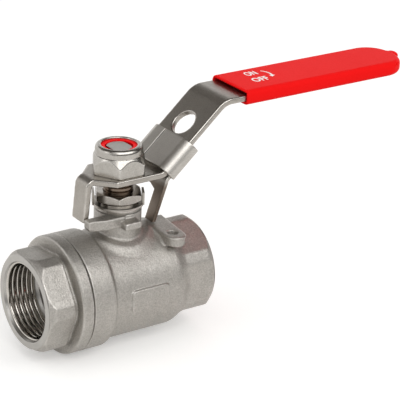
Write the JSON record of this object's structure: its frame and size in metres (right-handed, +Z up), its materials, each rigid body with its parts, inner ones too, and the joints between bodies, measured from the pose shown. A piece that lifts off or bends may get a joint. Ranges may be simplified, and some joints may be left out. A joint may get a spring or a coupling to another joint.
{
  "type": "threaded ball valve",
  "caption": "Two-piece stainless ball valve with threaded ends, a bent steel lever in a red sleeve and a sliding latch; a quarter turn opens or shuts it.",
  "frame": {"origin": "centre of the inlet face, on the pipe axis; the ball's centre is at x = 0.036", "axes": "+X along the pipe from inlet to outlet, which is also the way the open lever points; +Z up the stem; +Y to the left of the lever, seen from above"},
  "size_m": [0.1518, 0.0404, 0.0832],
  "materials": {
    "cast_stainless": "investment-cast stainless steel, shot-blasted",
    "polished_stainless": "ground and polished stainless steel",
    "ptfe": "moulded and turned PTFE",
    "machined_stainless": "turned stainless steel",
    "fluoro_rubber": "moulded fluoro rubber",
    "spring_stainless": "spring-hard stainless strip",
    "pressed_stainless": "pressed stainless sheet, tumbled",
    "bright_stainless": "bright cold-formed stainless steel",
    "red_nylon": "red nylon",
    "red_vinyl": "dip-moulded red vinyl, glossy"
  },
  "bodies": {
    "valve_body": {"body": "cast_stainless", "end_cap": "cast_stainless", "seat_ring_inlet": "ptfe", "seat_ring_outlet": "ptfe", "body_gasket": "ptfe", "thrust_washer": "ptfe", "packing_ring_lower": "ptfe", "packing_ring_middle": "ptfe", "packing_ring_upper": "ptfe", "gland_ring": "machined_stainless"},
    "lever_set": {"stem": "machined_stainless", "stem_o_ring": "fluoro_rubber", "spring_washer_lower": "spring_stainless", "tab_washer": "pressed_stainless", "spring_washer_upper": "spring_stainless", "packing_nut": "machined_stainless", "lever": "pressed_stainless", "handle_nut": "bright_stainless", "nut_insert": "red_nylon", "grip": "red_vinyl"},
    "ball_trim": {"ball": "polished_stainless"},
    "latch_slide": {"latch": "pressed_stainless"}
  },
  "joints": [
    {"name": "lever_turn", "type": "hinge", "parent": "valve_body", "child": "lever_set", "pos_m": [0.036, 0, 0], "axis": [0, 0, 1], "range_deg": [-90, 0]},
    {"name": "ball_turn", "type": "hinge", "parent": "valve_body", "child": "ball_trim", "pos_m": [0.036, 0, 0], "axis": [0, 0, 1], "range_deg": [-90, 0]},
    {"name": "latch_lift", "type": "slide", "parent": "lever_set", "child": "latch_slide", "axis": [0.7478, 0, 0.6639], "range_m": [0, 0.009]}
  ],
  "couplings": [
    {"joint": "ball_turn", "follows": "lever_turn", "ratio": 1}
  ]
}
